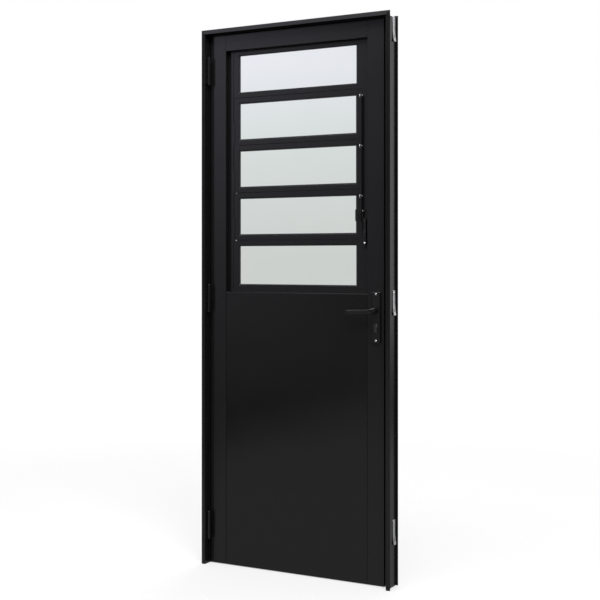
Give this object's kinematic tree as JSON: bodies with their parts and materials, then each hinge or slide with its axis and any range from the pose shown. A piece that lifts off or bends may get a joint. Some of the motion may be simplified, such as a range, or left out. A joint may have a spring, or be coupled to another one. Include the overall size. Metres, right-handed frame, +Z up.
{
  "type": "swing_door",
  "caption": "Black metal swing door in its frame, with a glazed upper half of linked tilting sashes, a flat lower panel, butt hinges, a lever handle on a narrow plate and a key cylinder",
  "frame": {"origin": "bottom centre of the door frame, at floor level", "axes": "+X from the hinge side to the lock side, -Y towards the room the leaf opens into, +Z up"},
  "size_m": [0.81, 0.122, 2.1],
  "materials": {
    "black_coat": "satin-gloss black powder coat",
    "handle_black": "gloss black stoved paint",
    "seal_rubber": "matte extruded rubber",
    "zinc_steel": "bright zinc plate",
    "satin_steel": "satin nickel",
    "pane_glass": "pale translucent float glass",
    "dark_nickel": "black nickel"
  },
  "bodies": {
    "frame": {"hinge_jamb": "black_coat", "lock_jamb": "black_coat", "head": "black_coat", "stop_gasket": "seal_rubber", "wall_anchors": "zinc_steel", "anchor_rivets": "zinc_steel", "strike_plate": "satin_steel", "frame_screws": "satin_steel", "upper_frame_hinge": "black_coat", "middle_frame_hinge": "black_coat", "lower_frame_hinge": "black_coat", "hinge_pins": "black_coat"},
    "leaf": {"hinge_stile": "black_coat", "lock_stile": "black_coat", "top_rail": "black_coat", "mid_rail": "black_coat", "bottom_rail": "black_coat", "front_panel": "black_coat", "back_panel": "black_coat", "upper_leaf_hinge": "black_coat", "middle_leaf_hinge": "black_coat", "lower_leaf_hinge": "black_coat", "leaf_screws": "satin_steel", "left_liner": "black_coat", "right_liner": "black_coat", "top_liner": "black_coat", "sill_liner": "black_coat", "top_light_frame": "black_coat", "top_light_glass": "pane_glass", "top_light_bead": "black_coat", "bottom_light_frame": "black_coat", "bottom_light_glass": "pane_glass", "bottom_light_bead": "black_coat", "lever_bracket": "black_coat", "bracket_rivets": "zinc_steel", "lock_case": "zinc_steel", "lock_forend": "satin_steel", "lock_cylinder": "dark_nickel", "inside_plate": "handle_black", "outside_plate": "handle_black", "plate_screws": "zinc_steel"},
    "upper_vent": {"upper_sash": "black_coat", "upper_sash_glass": "pane_glass", "upper_sash_bead": "black_coat"},
    "middle_vent": {"middle_sash": "black_coat", "middle_sash_glass": "pane_glass", "middle_sash_bead": "black_coat"},
    "lower_vent": {"lower_sash": "black_coat", "lower_sash_glass": "pane_glass", "lower_sash_bead": "black_coat"},
    "rod": {"vent_rod": "black_coat", "rod_rivets": "zinc_steel"},
    "crank": {"vent_lever": "black_coat"},
    "handle": {"inside_lever": "handle_black", "outside_lever": "handle_black", "spindle": "satin_steel", "lock_hub": "zinc_steel"},
    "latch": {"latch_bolt": "satin_steel"},
    "bolt": {"dead_bolt": "satin_steel"},
    "plug": {"cylinder_plug": "dark_nickel"}
  },
  "joints": [
    {"name": "leaf_swing", "type": "hinge", "parent": "frame", "child": "leaf", "pos_m": [-0.38, -0.04, 1.0465], "axis": [0, 0, -1], "range_deg": [0, 110]},
    {"name": "middle_vent_tilt", "type": "hinge", "parent": "leaf", "child": "middle_vent", "pos_m": [-0.0089, 0.005, 1.5525], "axis": [1, 0, 0], "range_deg": [0, 50]},
    {"name": "upper_vent_tilt", "type": "hinge", "parent": "leaf", "child": "upper_vent", "pos_m": [-0.0089, 0.005, 1.7385], "axis": [1, 0, 0], "range_deg": [0, 50]},
    {"name": "lower_vent_tilt", "type": "hinge", "parent": "leaf", "child": "lower_vent", "pos_m": [-0.0089, 0.005, 1.3665], "axis": [1, 0, 0], "range_deg": [0, 50]},
    {"name": "rod_joint", "type": "hinge", "parent": "middle_vent", "child": "rod", "pos_m": [0.27, -0.01, 1.6185], "axis": [1, 0, 0], "range_deg": [-50, 0]},
    {"name": "crank_turn", "type": "hinge", "parent": "leaf", "child": "crank", "pos_m": [0.2748, 0.005, 1.31115], "axis": [1, 0, 0], "range_deg": [0, 50]},
    {"name": "handle_turn", "type": "hinge", "parent": "leaf", "child": "handle", "pos_m": [0.338, 0, 1.013], "axis": [0, -1, 0], "range_deg": [0, 40], "stiffness_Nm_per_rad": 1, "springref_deg": -28.65},
    {"name": "latch_slide", "type": "slide", "parent": "leaf", "child": "latch", "axis": [1, 0, 0], "range_m": [-0.0125, 0]},
    {"name": "bolt_slide", "type": "slide", "parent": "leaf", "child": "bolt", "axis": [1, 0, 0], "range_m": [0, 0.02]},
    {"name": "plug_turn", "type": "hinge", "parent": "leaf", "child": "plug", "pos_m": [0.338, 0, 0.955], "axis": [0, -1, 0], "range_deg": [0, 360]}
  ],
  "couplings": [
    {"joint": "upper_vent_tilt", "follows": "middle_vent_tilt", "ratio": 1},
    {"joint": "lower_vent_tilt", "follows": "middle_vent_tilt", "ratio": 1},
    {"joint": "rod_joint", "follows": "middle_vent_tilt", "ratio": -1},
    {"joint": "crank_turn", "follows": "middle_vent_tilt", "ratio": 1},
    {"joint": "latch_slide", "follows": "handle_turn", "m_per_rad": -0.0172},
    {"joint": "plug_turn", "follows": "bolt_slide", "rad_per_m": 314.16}
  ]
}
